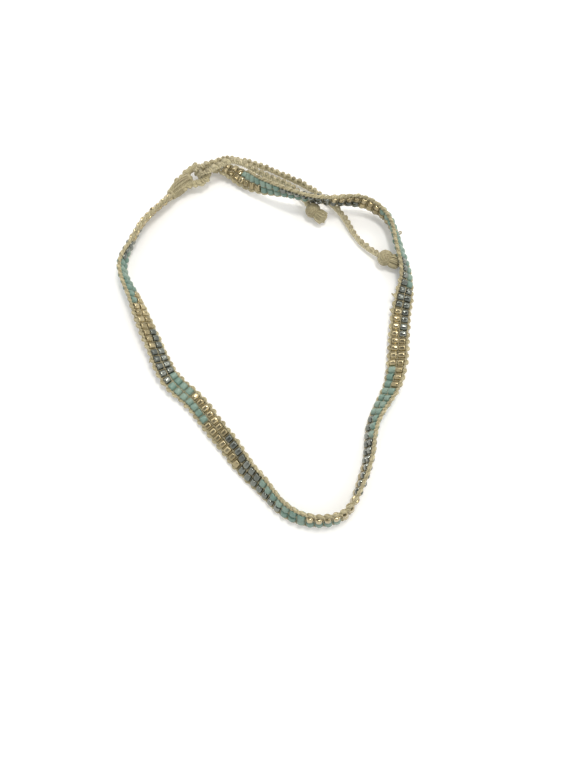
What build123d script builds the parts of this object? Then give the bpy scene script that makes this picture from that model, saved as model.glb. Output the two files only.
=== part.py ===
"""A woven anklet: two columns of seed beads between knotted thread edges, an eye loop at one
end and two braided tie tails at the other, lying on a flat surface as a closed loop.

The band is a ribbon that follows one route over the surface. Along the way it leans on
edge, rolls over and comes back, so every piece of it is placed through the same function:
a distance along the route, a distance across the ribbon and a distance proud of its face.
Millimetres, +Z up, the surface at Z = 0.
"""

from build123d import *
import os
from collections import namedtuple
from math import cos, hypot, pi, radians, sin, tan

# --- Driving dimensions ---------------------------------------------------------------
ROW_PITCH = 2.0              # one knotted row of the band, one bead in each column
BEAD_DIAMETER = 1.85         # seed bead, across the hole
BEAD_LENGTH = 1.5            # seed bead, along the hole
BEAD_HOLE = 0.7
BEAD_ROUNDING = 0.32         # at the two outer rims of a bead
COLUMN_OFFSET = 0.96         # from the middle of the band to a bead column
CENTRE_CORD = 0.26           # diameter of the thread between the two columns
EDGE_CORD = 0.8              # diameter of the knotted thread along an edge
EDGE_CLEARANCE = 0.12        # between an edge cord and the beads
LINK_DIAMETER = 0.5          # thread that joins the beads of one group
LINK_BITE = 0.25             # how far a link reaches into a bead
WRAP_DIAMETER = 3.0          # whipping where the band's threads gather
WRAP_LENGTH = 1.9
WRAP_ROUNDING = 0.5
GATHER_SPREAD = 0.95         # edge cords from the middle where they enter the whipping
EYE_CORD = 1.7               # wrapped strand of the eye loop
TAIL_CORD = 1.7              # braided tie tail
BALL_DIAMETER = 4.1          # ball knot at the end of a tail
TUFT_DIAMETER = 2.4          # cut threads beyond the ball knot
TUFT_LENGTH = 1.2
FACE_GAP = 0.08              # between pieces that butt square, end to end
SLANT_GAP = 0.50             # between pieces that butt at a slant
STANDING_GAP = 0.04          # kept under the band, taken up where its cords sag between rows
PAST_LAST_BEAD = 1.3         # the edges keep their full width this far past the end rows
BALL_SEAT_MARGIN = 0.2       # the flat of a ball knot reaches this far past the tail's tube

# --- Derived ----------------------------------------------------------------------------
BEAD_RADIUS = BEAD_DIAMETER / 2
BALL_RADIUS = BALL_DIAMETER / 2
COLUMN_REACH = COLUMN_OFFSET + BEAD_LENGTH / 2
EDGE_OFFSET = COLUMN_REACH + EDGE_CLEARANCE + EDGE_CORD / 2

# --- Bead chart: the same three colours over and over, column a some rows ahead of b ----
Group = namedtuple("Group", "colour beads_a beads_b")
BEAD_CHART = [
    Group("gold", 6, 9),
    Group("hematite", 4, 3),
    Group("turquoise", 7, 7),
    Group("gold", 6, 7),
    Group("hematite", 7, 5),
    Group("turquoise", 4, 7),
    Group("gold", 7, 7),
    Group("hematite", 7, 7),
    Group("turquoise", 7, 7),
    Group("gold", 7, 7),
    Group("hematite", 7, 6),
    Group("turquoise", 7, 7),
    Group("gold", 7, 8),
    Group("hematite", 7, 7),
    Group("turquoise", 8, 8),
    Group("gold", 7, 7),
    Group("hematite", 7, 7),
    Group("turquoise", 7, 7),
    Group("gold", 7, 3),
]
ROWS = sum(group.beads_a for group in BEAD_CHART)

# --- Route of the band over the surface, from the eye loop's end to the tails' end ------
# lean: 0 lies flat with face a-b up, 90 stands on edge a, -90 on edge b, -180 lies on its
# face. lift: how far the band is held above the surface by what passes under it.
Stop = namedtuple("Stop", "x y lean lift")
ROUTE = [
    Stop(-24.61, 42.49, 131, 0.00),
    Stop(-29.38, 36.93, 126, 0.00),
    Stop(-33.85, 31.07, 120, 0.00),
    Stop(-36.32, 24.69, 110, 0.00),
    Stop(-37.91, 17.76, 86, 0.00),
    Stop(-34.68, 9.83, 65, 0.00),
    Stop(-30.91, 1.86, 45, 0.00),
    Stop(-26.52, -7.28, 34, 0.00),
    Stop(-22.53, -14.40, 13, 0.00),
    Stop(-16.66, -19.86, 1, 0.00),
    Stop(-11.39, -26.25, -3, 0.00),
    Stop(-6.64, -31.98, -12, 0.00),
    Stop(-3.23, -36.52, -31, 0.00),
    Stop(0.95, -41.00, -46, 0.00),
    Stop(6.10, -46.42, -60, 0.00),
    Stop(13.47, -49.23, -71, 0.00),
    Stop(20.67, -47.10, -84, 0.00),
    Stop(23.06, -42.80, -101, 0.00),
    Stop(25.73, -35.06, -111, 0.00),
    Stop(27.40, -25.86, -122, 0.00),
    Stop(31.90, -17.38, -143, 0.00),
    Stop(33.79, -9.98, -166, 0.00),
    Stop(34.70, -1.75, -181, 0.00),
    Stop(36.07, 6.62, -197, 0.00),
    Stop(37.05, 12.97, -228, 0.00),
    Stop(35.57, 22.12, -246, 0.00),
    Stop(33.14, 30.35, -263, 0.00),
    Stop(25.60, 35.20, -270, 1.25),
    Stop(18.80, 34.90, -257, 2.25),
    Stop(11.70, 36.12, -250, 2.50),
    Stop(3.69, 38.84, -270, 2.25),
    Stop(-3.72, 43.07, -309, 1.00),
    Stop(-7.82, 46.79, -360, 0.10),
    Stop(-15.68, 49.14, -390, 0.20),
]

# --- Eye loop: along runs from the whipping to the tip, aside to the loop's left --------
EyePoint = namedtuple("EyePoint", "along aside height")
EYE = [
    EyePoint(0.45, 0.92, 2.60),
    EyePoint(2.60, 1.60, 2.30),
    EyePoint(4.80, 2.47, 2.40),
    EyePoint(7.20, 2.42, 2.75),
    EyePoint(9.40, 1.35, 2.85),
    EyePoint(9.40, -1.45, 2.85),
    EyePoint(8.20, -2.97, 2.80),
    EyePoint(6.30, -3.08, 2.70),
    EyePoint(4.40, -1.95, 2.40),
    EyePoint(2.60, -0.85, 2.30),
    EyePoint(0.45, -0.92, 2.60),
]

# --- Tie tails: from the band's whipping under the eye's tip, over it and back ----------
TailPoint = namedtuple("TailPoint", "x y z")
TAIL_A = [
    TailPoint(-16.45, 50.25, 1.00),
    TailPoint(-19.93, 47.39, 1.00),
    TailPoint(-19.40, 46.94, 4.55),
    TailPoint(-17.03, 47.66, 4.80),
    TailPoint(-13.10, 49.37, 4.65),
    TailPoint(-11.16, 52.33, 1.97),
    TailPoint(-7.09, 52.23, 0.95),
    TailPoint(-3.08, 50.55, 1.03),
    TailPoint(0.85, 48.93, 1.00),
    TailPoint(4.41, 46.79, 1.00),
    TailPoint(8.23, 44.67, 1.00),
    TailPoint(11.81, 42.33, 1.00),
    TailPoint(14.95, 39.66, 1.00),
    TailPoint(18.12, 36.74, 1.00),
    TailPoint(20.83, 33.44, 1.00),
    TailPoint(22.70, 29.62, 1.00),
    TailPoint(24.59, 25.78, 1.02),
    TailPoint(27.28, 22.33, 0.95),
    TailPoint(30.51, 19.77, 1.60),
]
TAIL_B = [
    TailPoint(-16.20, 48.00, 1.00),
    TailPoint(-18.81, 45.96, 1.00),
    TailPoint(-18.26, 45.52, 4.55),
    TailPoint(-16.09, 45.53, 4.78),
    TailPoint(-13.22, 47.32, 4.86),
    TailPoint(-10.32, 49.13, 4.78),
    TailPoint(-6.83, 48.96, 4.11),
    TailPoint(-3.92, 47.97, 2.52),
    TailPoint(-0.91, 47.09, 1.09),
    TailPoint(2.22, 45.56, 0.99),
    TailPoint(5.25, 44.01, 1.00),
    TailPoint(7.95, 41.88, 1.01),
    TailPoint(10.19, 39.24, 1.10),
    TailPoint(12.24, 35.48, 1.35),
]
TUFT_A = Vector(0.90, -0.36, -0.12)      # way the cut threads of tail a point
TUFT_B = Vector(0.74, -0.64, -0.12)

os.makedirs("parts", exist_ok=True)


def save(name, solid):
    """Label one finished piece and write it to its own file."""
    solid.label = name
    export_step(solid, f"parts/{name}.step")


# --- The ribbon's frame -----------------------------------------------------------------
def rest_height(lean):
    """Height of the band's middle when a band at this lean rests on the surface."""
    upright = abs(sin(radians(lean)))
    level = abs(cos(radians(lean)))
    on_edge = EDGE_OFFSET * upright + EDGE_CORD / 2
    on_beads = COLUMN_REACH * upright + BEAD_RADIUS * level
    return max(on_edge, on_beads) + STANDING_GAP


with BuildLine() as plan:
    Spline(*[(stop.x, stop.y) for stop in ROUTE])
plan_edge = plan.line.edge()
PLAN_LENGTH = plan_edge.length
FIRST_ROW = (PLAN_LENGTH - (ROWS - 1) * ROW_PITCH) / 2
TRAIL_STEPS = 2000
TRAIL = [plan_edge @ (k / TRAIL_STEPS) for k in range(TRAIL_STEPS + 1)]


def plan_distance(stop):
    """Distance along the plan to a stop, found by the nearest of many even steps."""
    nearest = min(range(TRAIL_STEPS + 1), key=lambda k: hypot(TRAIL[k].X - stop.x, TRAIL[k].Y - stop.y))
    return PLAN_LENGTH * nearest / TRAIL_STEPS


STOP_DISTANCES = [plan_distance(stop) for stop in ROUTE]


def eased(distance, column):
    """Value of a route column at a distance: a smooth curve through the stops."""
    values = [getattr(stop, column) for stop in ROUTE]
    last = len(values) - 1
    k = 0
    while k < last - 1 and distance > STOP_DISTANCES[k + 1]:
        k += 1

    def slope(i):
        before = max(i - 1, 0)
        after = min(i + 1, last)
        return (values[after] - values[before]) / (STOP_DISTANCES[after] - STOP_DISTANCES[before])

    span = STOP_DISTANCES[k + 1] - STOP_DISTANCES[k]
    t = min(max((distance - STOP_DISTANCES[k]) / span, 0), 1)
    from_start = (1 + 2 * t) * (1 - t) ** 2 * values[k] + t * (1 - t) ** 2 * span * slope(k)
    from_end = t * t * (3 - 2 * t) * values[k + 1] - t * t * (1 - t) * span * slope(k + 1)
    return from_start + from_end


def middle(distance):
    """The band's middle line in space."""
    flat = plan_edge @ (min(max(distance, 0), PLAN_LENGTH) / PLAN_LENGTH)
    height = rest_height(eased(distance, "lean")) + eased(distance, "lift")
    return Vector(flat.X, flat.Y, height)


CHORD_REACH = 0.4            # the ribbon's direction is that of a chord this far each way


def directions(distance):
    """Unit vectors of the ribbon: along it, across it from a to b, and out of its face."""
    along = (middle(distance + CHORD_REACH) - middle(distance - CHORD_REACH)).normalized()
    outward = along.cross(Vector(0, 0, 1)).normalized()
    upward = outward.cross(along)
    lean = radians(eased(distance, "lean"))
    across = outward * cos(lean) + upward * sin(lean)
    face = upward * cos(lean) - outward * sin(lean)
    return along, across, face


def on_band(distance, aside, proud=0.0):
    """A point of the ribbon, aside from its middle towards edge b and proud of its face."""
    along, across, face = directions(distance)
    return middle(distance) + across * aside + face * proud


# --- Cord tubes: straight runs joined by tangent arcs ------------------------------------
ARC_SHARE = 0.45             # of the shorter run beside a corner, taken up by its arc
STRAIGHTEST_TURN = 0.4       # degrees; a smaller turn gets the same arc as this one


def corner_radii(points):
    """Radius at each inner point: its share of the shorter run over the tangent of half the turn."""
    radii = []
    for before, here, after in zip(points, points[1:], points[2:]):
        run_in = here - before
        run_out = after - here
        turn = max(run_in.get_angle(run_out), STRAIGHTEST_TURN)
        radii.append(ARC_SHARE * min(run_in.length, run_out.length) / tan(radians(turn / 2)))
    return radii


def cord(points, diameter, name, report=False):
    """A round tube along a route of points, as a finished solid."""
    points = [Vector(*point) for point in points]
    radii = corner_radii(points)
    with BuildPart() as tube:
        with BuildLine() as path:
            FilletPolyline(*points, radius=radii)
        with BuildSketch(Plane(origin=path.line @ 0, z_dir=path.line % 0)):
            Circle(diameter / 2)
        sweep()
    length = path.wire().length
    filled = tube.part.volume / (pi * diameter * diameter / 4 * length)
    print(f"{name}: {len(points)} points, length {length:.1f}, volume over section x length {filled:.3f}")
    if report:
        print("  radii", " ".join(f"{radius:.1f}" for radius in radii))
    return tube.part


# --- Beads -------------------------------------------------------------------------------
with BuildPart() as bead:
    with BuildSketch(Plane.XY) as bead_profile:
        with Locations((0, (BEAD_RADIUS + BEAD_HOLE / 2) / 2)):
            wall = Rectangle(BEAD_LENGTH, BEAD_RADIUS - BEAD_HOLE / 2)
        fillet(bead_profile.vertices().group_by(Axis.Y)[-1], BEAD_ROUNDING)
    revolve(axis=Axis.X)


def row_distance(row):
    """Distance along the route to the middle of a knotted row."""
    return FIRST_ROW + row * ROW_PITCH


def bead_group(first_row, count, aside):
    """A run of beads of one colour in one column, joined by short links of thread."""
    seats = []
    for row in range(first_row, first_row + count):
        along, across, face = directions(row_distance(row))
        centre = on_band(row_distance(row), aside)
        seats.append(Location(Plane(origin=centre, x_dir=across, z_dir=face)))
    with BuildPart() as group:
        with Locations(*seats):
            add(bead.part)
        for here, after in zip(seats, seats[1:]):
            step = after.position - here.position
            link_length = step.length - BEAD_DIAMETER + 2 * LINK_BITE
            link_plane = Plane(origin=(here.position + after.position) / 2, z_dir=step)
            with BuildSketch(link_plane.offset(-link_length / 2)):
                Circle(LINK_DIAMETER / 2)
            extrude(amount=link_length)
    return group.part


for column, aside, counts in (
    ("a", -COLUMN_OFFSET, [group.beads_a for group in BEAD_CHART]),
    ("b", COLUMN_OFFSET, [group.beads_b for group in BEAD_CHART]),
):
    first_row = 0
    for index, (group, count) in enumerate(zip(BEAD_CHART, counts), start=1):
        save(f"beads_{column}_{index:02d}_{group.colour}", bead_group(first_row, count, aside))
        first_row += count

# --- Threads that run the length of the band ----------------------------------------------
CORD_STEP = 1.4 * ROW_PITCH
FIRST_CORD_POINT = FIRST_ROW - PAST_LAST_BEAD
LAST_CORD_POINT = row_distance(ROWS - 1) + PAST_LAST_BEAD
CORD_START = WRAP_LENGTH + SLANT_GAP
CORD_END = PLAN_LENGTH - WRAP_LENGTH - SLANT_GAP


def lengthwise(aside, gathered):
    """Points of a thread along the whole band, drawn in to the whipping at each end."""
    points = [on_band(CORD_START, gathered)]
    spans = round((LAST_CORD_POINT - FIRST_CORD_POINT) / CORD_STEP)
    for k in range(spans + 1):
        distance = FIRST_CORD_POINT + (LAST_CORD_POINT - FIRST_CORD_POINT) * k / spans
        points.append(on_band(distance, aside))
    points.append(on_band(CORD_END, gathered))
    return points


save("edge_cord_a", cord(lengthwise(-EDGE_OFFSET, -GATHER_SPREAD), EDGE_CORD, "edge_cord_a"))
save("edge_cord_b", cord(lengthwise(EDGE_OFFSET, GATHER_SPREAD), EDGE_CORD, "edge_cord_b"))
save("centre_cord", cord(lengthwise(0.0, 0.0), CENTRE_CORD, "centre_cord"))


# --- Whippings where the band ends ---------------------------------------------------------
def whipping(start, end):
    """A round binding along the route between two distances."""
    foot = middle(start)
    head = middle(end)
    with BuildPart() as binding:
        with BuildSketch(Plane(origin=foot, z_dir=head - foot)):
            Circle(WRAP_DIAMETER / 2)
        extrude(amount=(head - foot).length)
        fillet(binding.edges(), WRAP_ROUNDING)
    return binding.part


save("loop_whipping", whipping(0, WRAP_LENGTH))
save("tail_whipping", whipping(PLAN_LENGTH - WRAP_LENGTH, PLAN_LENGTH))

# --- Eye loop --------------------------------------------------------------------------------
eye_foot = middle(0)
eye_tip = Vector(TAIL_A[0].x + TAIL_B[0].x, TAIL_A[0].y + TAIL_B[0].y) / 2
eye_along = Vector(eye_tip.X - eye_foot.X, eye_tip.Y - eye_foot.Y).normalized()
eye_aside = Vector(0, 0, 1).cross(eye_along)


def eye_point(point):
    """The place of one point of the eye loop."""
    flat = eye_foot + eye_along * point.along + eye_aside * point.aside
    return Vector(flat.X, flat.Y, point.height)


eye_route = [eye_point(point) for point in EYE]
save("eye_loop", cord(eye_route, EYE_CORD, "eye_loop", report=True))

# --- Tie tails and their ball knots -----------------------------------------------------------
save("tie_tail_a", cord(TAIL_A, TAIL_CORD, "tie_tail_a", report=True))
save("tie_tail_b", cord(TAIL_B, TAIL_CORD, "tie_tail_b", report=True))


def ball_knot(route, tuft_way):
    """A ball knot in line with the last run of a tail, and the tuft of cut threads on it."""
    end = Vector(*route[-1])
    heading = Vector(end.X - route[-2].x, end.Y - route[-2].y).normalized()
    seat = Vector(end.X, end.Y, BALL_RADIUS) + heading * FACE_GAP
    seat_radius = TAIL_CORD / 2 + BALL_SEAT_MARGIN
    seat_depth = (BALL_RADIUS * BALL_RADIUS - seat_radius * seat_radius) ** 0.5
    centre = seat + heading * seat_depth
    with BuildPart() as knot:
        with BuildSketch(Plane(origin=seat, x_dir=heading, z_dir=(0, 0, 1))):
            with BuildLine():
                Polyline((seat_depth + BALL_RADIUS, 0), (0, 0), (0, seat_radius))
                ThreePointArc((0, seat_radius), (seat_depth, BALL_RADIUS), (seat_depth + BALL_RADIUS, 0))
            make_face()
        revolve(axis=Axis(seat, heading))
        with BuildSketch(Plane(origin=centre, z_dir=tuft_way)):
            Circle(TUFT_DIAMETER / 2)
        extrude(amount=BALL_RADIUS + TUFT_LENGTH)
    return knot.part


save("ball_knot_a", ball_knot(TAIL_A, TUFT_A))
save("ball_knot_b", ball_knot(TAIL_B, TUFT_B))

print(f"plan length {PLAN_LENGTH:.1f}, {ROWS} rows, first row at {FIRST_ROW:.2f}")
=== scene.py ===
# %% [markdown]
# # A woven bead anklet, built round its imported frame
# The anklet is a narrow band of two bead columns, held between two knotted edges. One end has an eye
# loop, the other two tie tails with ball knots, and the whole thing lies on a table as a closed loop.
# The frame holds plain tubes and bead runs at their true places. This lesson swaps each of them for
# the real structure: glass beads with a glaze, waxed thread in hitches, and wound knots.

from collections import namedtuple
from math import ceil, cos, pi, radians, sin

import bpy
import numpy as np
from mathutils import Matrix, Vector


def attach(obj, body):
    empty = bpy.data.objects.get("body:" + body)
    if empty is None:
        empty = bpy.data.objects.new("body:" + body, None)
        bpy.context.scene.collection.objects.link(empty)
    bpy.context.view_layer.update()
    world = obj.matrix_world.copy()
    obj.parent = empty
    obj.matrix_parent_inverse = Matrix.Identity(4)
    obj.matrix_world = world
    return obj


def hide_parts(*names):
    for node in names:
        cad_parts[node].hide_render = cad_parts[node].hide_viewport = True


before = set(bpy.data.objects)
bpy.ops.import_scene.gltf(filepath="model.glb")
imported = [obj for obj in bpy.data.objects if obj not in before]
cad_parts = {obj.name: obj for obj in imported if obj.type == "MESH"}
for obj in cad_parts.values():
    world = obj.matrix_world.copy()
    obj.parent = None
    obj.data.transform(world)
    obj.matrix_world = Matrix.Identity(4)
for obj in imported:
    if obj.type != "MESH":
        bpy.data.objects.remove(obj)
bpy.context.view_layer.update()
print("frame nodes:", len(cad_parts))

# %% [markdown]
# ## Small helpers
# Everything is worked out in metres. Three small functions for directions keep the later cells short.

# %% Small helpers
MM = 0.001


def add_object(name, data):
    """A new object in the scene."""
    obj = bpy.data.objects.new(name, data)
    bpy.context.scene.collection.objects.link(obj)
    return obj


def unit(vectors):
    """One vector, or each row of many, scaled to length one."""
    return vectors / np.linalg.norm(vectors, axis=-1, keepdims=True)


def round_steps(count):
    """Angles of this many even steps round a circle."""
    return 2 * pi * np.arange(count) / count


def spokes(angle, first, second):
    """Vectors at each angle, from the first direction towards the second."""
    return first * np.cos(angle)[:, None] + second * np.sin(angle)[:, None]


# %% [markdown]
# ## The camera
# The table is seen from steeply above, a little from the right, with the camera turned slightly
# about its own axis. Three angles and a target say that more plainly than a matrix.

# %% Camera
ELEVATION = radians(70)
AZIMUTH = radians(10)
ROLL = radians(-10)
TARGET = Vector((0.0067, -0.0155, 0.0))
DISTANCE = 0.149
FOCAL_MM = 28.1

level_out = Vector((sin(AZIMUTH), -cos(AZIMUTH), 0))
towards_camera = level_out * cos(ELEVATION) + Vector((0, 0, sin(ELEVATION)))
level_right = Vector((cos(AZIMUTH), sin(AZIMUTH), 0))
level_up = towards_camera.cross(level_right)
camera_right = level_right * cos(ROLL) + level_up * sin(ROLL)
camera_up = towards_camera.cross(camera_right)
turn = Matrix((camera_right, camera_up, towards_camera)).transposed()
camera_data = bpy.data.cameras.new("table_camera")
camera_data.lens = FOCAL_MM
camera_data.clip_start = 0.005
camera = add_object("table_camera", camera_data)
camera.matrix_world = Matrix.Translation(TARGET + towards_camera * DISTANCE) @ turn.to_4x4()
bpy.context.scene.camera = camera
print("camera at", [round(x, 4) for x in camera.matrix_world.translation])

# %% [markdown]
# ## The routes of the tie tails
# A limp tail is one smooth line. Each route below is a short list of points, and a NURBS curve with
# those points as its control points gives the line. The curve is never shown: its mesh, which is only
# a chain of points, is read once and everything on the tail follows it.

# %% Tail routes
TAIL_A_ROUTE = MM * np.array([
    (-16.45, 50.25, 1.00), (-19.93, 47.39, 1.00), (-19.40, 46.94, 4.55), (-17.03, 47.66, 4.80),
    (-13.10, 49.37, 4.65), (-11.16, 52.33, 1.97), (-7.09, 52.23, 0.95), (-3.08, 50.55, 1.03),
    (0.85, 48.93, 1.00), (4.41, 46.79, 1.00), (8.23, 44.67, 1.00), (11.81, 42.33, 1.00),
    (14.95, 39.66, 1.00), (18.12, 36.74, 1.00), (20.83, 33.44, 1.00), (22.70, 29.62, 1.00),
    (24.59, 25.78, 1.02), (27.28, 22.33, 0.95), (30.51, 19.77, 1.60),
])
TAIL_B_ROUTE = MM * np.array([
    (-16.20, 48.00, 1.00), (-18.81, 45.96, 1.00), (-18.26, 45.52, 4.55), (-16.09, 45.53, 4.78),
    (-13.22, 47.32, 4.86), (-10.32, 49.13, 4.78), (-6.83, 48.96, 4.11), (-3.92, 47.97, 2.52),
    (-0.91, 47.09, 1.09), (2.22, 45.56, 0.99), (5.25, 44.01, 1.00), (7.95, 41.88, 1.01),
    (10.19, 39.24, 1.10), (12.24, 35.48, 1.35),
])
CURVE_STEPS = 16  # points read from the curve for each control point


def smooth_line(name, route):
    """Points along a NURBS curve whose control points are the route."""
    curve = bpy.data.curves.new(name, "CURVE")
    curve.dimensions = "3D"
    spline = curve.splines.new("NURBS")
    spline.points.add(len(route) - 1)
    for point, place in zip(spline.points, route):
        point.co = (*place, 1.0)
    spline.order_u = 3
    spline.use_endpoint_u = True
    spline.resolution_u = CURVE_STEPS
    holder = add_object(name, curve)
    bpy.context.view_layer.update()
    settled = holder.evaluated_get(bpy.context.evaluated_depsgraph_get())
    chain = bpy.data.meshes.new_from_object(settled)
    points = np.array([vertex.co for vertex in chain.vertices])
    bpy.data.objects.remove(holder)
    bpy.data.curves.remove(curve)
    bpy.data.meshes.remove(chain)
    return points


def reach_along(points):
    """Distance from the first point to each point of a chain."""
    steps = np.linalg.norm(np.diff(points, axis=0), axis=1)
    return np.concatenate([[0.0], np.cumsum(steps)])


tail_a_line = smooth_line("tail_a_line", TAIL_A_ROUTE)
tail_b_line = smooth_line("tail_b_line", TAIL_B_ROUTE)
for label, line in (("a", tail_a_line), ("b", tail_b_line)):
    print(f"tail {label}: {len(line)} points, {reach_along(line)[-1] * 1000:.1f} mm")

# %% [markdown]
# ## The band's route
# The band is a ribbon on edge here, flat there, so each of its parts is placed by three distances:
# along the route, aside from its middle, and proud of its face. The table repeats the frame's own
# stops: a place, a lean in degrees and a lift. Between stops the plan is a smooth cubic curve, whose
# slopes come from asking for even curvature at every stop, and lean and lift ease from one to the next.

# %% Route table
ROW_PITCH = 0.0020  # one knotted row
BEAD_DIAMETER = 0.00185
BEAD_LENGTH = 0.0015
COLUMN_OFFSET = 0.00096  # from the middle of the band to a bead column
EDGE_CORD = 0.0008
BEAD_TO_EDGE = 0.00012
EDGE_OFFSET = COLUMN_OFFSET + BEAD_LENGTH / 2 + BEAD_TO_EDGE + EDGE_CORD / 2
STANDING_GAP = 0.00004

# Each stop: x and y in mm, lean in degrees, lift in mm.
ROUTE = [
    (-24.61, 42.49, 131, 0.00), (-29.38, 36.93, 126, 0.00), (-33.85, 31.07, 120, 0.00),
    (-36.32, 24.69, 110, 0.00), (-37.91, 17.76, 86, 0.00), (-34.68, 9.83, 65, 0.00),
    (-30.91, 1.86, 45, 0.00), (-26.52, -7.28, 34, 0.00), (-22.53, -14.40, 13, 0.00),
    (-16.66, -19.86, 1, 0.00), (-11.39, -26.25, -3, 0.00), (-6.64, -31.98, -12, 0.00),
    (-3.23, -36.52, -31, 0.00), (0.95, -41.00, -46, 0.00), (6.10, -46.42, -60, 0.00),
    (13.47, -49.23, -71, 0.00), (20.67, -47.10, -84, 0.00), (23.06, -42.80, -101, 0.00),
    (25.73, -35.06, -111, 0.00), (27.40, -25.86, -122, 0.00), (31.90, -17.38, -143, 0.00),
    (33.79, -9.98, -166, 0.00), (34.70, -1.75, -181, 0.00), (36.07, 6.62, -197, 0.00),
    (37.05, 12.97, -228, 0.00), (35.57, 22.12, -246, 0.00), (33.14, 30.35, -263, 0.00),
    (25.60, 35.20, -270, 1.25), (18.80, 34.90, -257, 2.25), (11.70, 36.12, -250, 2.50),
    (3.69, 38.84, -270, 2.25), (-3.72, 43.07, -309, 1.00), (-7.82, 46.79, -360, 0.10),
    (-15.68, 49.14, -390, 0.20),
]
route_table = np.array(ROUTE)
stops, leans, lifts = MM * route_table[:, :2], route_table[:, 2], MM * route_table[:, 3]
print(f"{len(stops)} stops, lean {leans.min():.0f} to {leans.max():.0f} degrees")


# %% The plan as a smooth curve
def end_slope(knots, values):
    """Slope at the first of four knots, of the cubic through all four."""
    return np.polyfit(knots - knots[0], values, 3)[2]


def even_slopes(knots, values):
    """Slopes at all knots that make the curvature run on evenly through each inner knot."""
    count = len(knots)
    spans = np.diff(knots)
    system = np.zeros((count, count))
    wanted = np.zeros(values.shape)
    system[0, 0] = system[-1, -1] = 1.0
    wanted[0] = end_slope(knots[:4], values[:4])
    wanted[-1] = end_slope(knots[::-1][:4], values[::-1][:4])
    for i in range(1, count - 1):
        before, after = spans[i - 1], spans[i]
        system[i, i - 1 : i + 2] = after, 2 * (before + after), before
        rise_before = (values[i] - values[i - 1]) / before
        rise_after = (values[i + 1] - values[i]) / after
        wanted[i] = 3 * (after * rise_before + before * rise_after)
    return np.linalg.solve(system, wanted)


def between(knots, values, slopes, where):
    """Values of the cubic curve through the knots, at the given places."""
    k = np.clip(np.searchsorted(knots, where, side="right") - 1, 0, len(knots) - 2)
    span = knots[k + 1] - knots[k]
    t = np.clip((where - knots[k]) / span, 0, 1)
    if values.ndim > 1:
        span, t = span[:, None], t[:, None]
    from_start = (1 + 2 * t) * (1 - t) ** 2 * values[k] + t * (1 - t) ** 2 * span * slopes[k]
    from_end = t * t * (3 - 2 * t) * values[k + 1] - t * t * (1 - t) * span * slopes[k + 1]
    return from_start + from_end


PLAN_STEPS = 6000
chords = reach_along(stops)
plan_at = np.linspace(0, chords[-1], PLAN_STEPS + 1)
plan_trail = between(chords, stops, even_slopes(chords, stops), plan_at)
plan_reach = reach_along(plan_trail)
PLAN_LENGTH = plan_reach[-1]
nearest = [np.argmin(np.linalg.norm(plan_trail - stop, axis=1)) for stop in stops]
stop_reach = plan_reach[nearest]
print(f"the plan is {PLAN_LENGTH * 1000:.2f} mm long")


# %% From three distances to a place
def eased_slopes(values):
    """Slope at each stop, from its two neighbours."""
    after = np.minimum(np.arange(len(values)) + 1, len(values) - 1)
    before = np.maximum(np.arange(len(values)) - 1, 0)
    return (values[after] - values[before]) / (stop_reach[after] - stop_reach[before])


def rest_height(lean):
    """Height of the band's middle where it rests on the table at that lean."""
    upright, level = np.abs(np.sin(np.radians(lean))), np.abs(np.cos(np.radians(lean)))
    on_edge = EDGE_OFFSET * upright + EDGE_CORD / 2
    on_beads = (COLUMN_OFFSET + BEAD_LENGTH / 2) * upright + BEAD_DIAMETER / 2 * level
    return np.maximum(on_edge, on_beads) + STANDING_GAP


def middle(distance):
    """The band's middle line, at an array of distances along it."""
    lean = between(stop_reach, leans, eased_slopes(leans), distance)
    lift = between(stop_reach, lifts, eased_slopes(lifts), distance)
    x = np.interp(distance, plan_reach, plan_trail[:, 0])
    y = np.interp(distance, plan_reach, plan_trail[:, 1])
    return np.stack([x, y, rest_height(lean) + lift], axis=1), lean


CHORD = 0.0004


def directions(distance):
    """Unit vectors along the band, across it from edge a to edge b, and out of its face."""
    along = unit(middle(distance + CHORD)[0] - middle(distance - CHORD)[0])
    outward = unit(np.cross(along, [0, 0, 1]))
    upward = np.cross(outward, along)
    lean = np.radians(middle(distance)[1])[:, None]
    across = outward * np.cos(lean) + upward * np.sin(lean)
    return along, across, upward * np.cos(lean) - outward * np.sin(lean)


def on_band(distance, aside, proud=0.0):
    """Places on the ribbon for an array of distances."""
    along, across, face = directions(distance)
    out, up = np.reshape(aside, (-1, 1)), np.reshape(proud, (-1, 1))
    return middle(distance)[0] + across * out + face * up


ROWS = 126
FIRST_ROW = (PLAN_LENGTH - (ROWS - 1) * ROW_PITCH) / 2
row_reach = FIRST_ROW + ROW_PITCH * np.arange(ROWS)
print(f"first row at {FIRST_ROW * 1000:.2f} mm, row 60 at", on_band(row_reach[60:61], 0.0)[0].round(4))

# %% [markdown]
# ## Strands of thread
# Everything but the beads is thread, and a strand of thread is a tube swept along a chain of points.
# Curve objects with a bevel could do it, but thousands of short ones are slow and can't carry a
# pattern that follows the twist. So a skein gathers the rings of many strands as plain arrays, writes
# how far along and how far round each corner lies into a UV map, and becomes one mesh at the end.

# %% A skein gathers strands
ODD_WAY = (0.31, 0.17, 0.93)  # no strand starts out along this
DOME = 0.5  # a strand's closing ring has this share of its radius, this far out


def carried_normals(tangents):
    """Unit vectors square to each tangent, turned as little as possible from one to the next."""
    normals = [unit(np.cross(tangents[0], ODD_WAY))]
    for tangent in tangents[1:]:
        normals.append(unit(normals[-1] - tangent * (normals[-1] @ tangent)))
    return np.array(normals)


def grid_steps(rows, columns, closed):
    """Row and column of each face of a grid that is closed round, and the row and column after."""
    i, j = np.meshgrid(np.arange(rows if closed else rows - 1), np.arange(columns), indexing="ij")
    i, j = i.ravel(), j.ravel()
    return i, j, (i + 1) % rows, (j + 1) % columns


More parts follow.
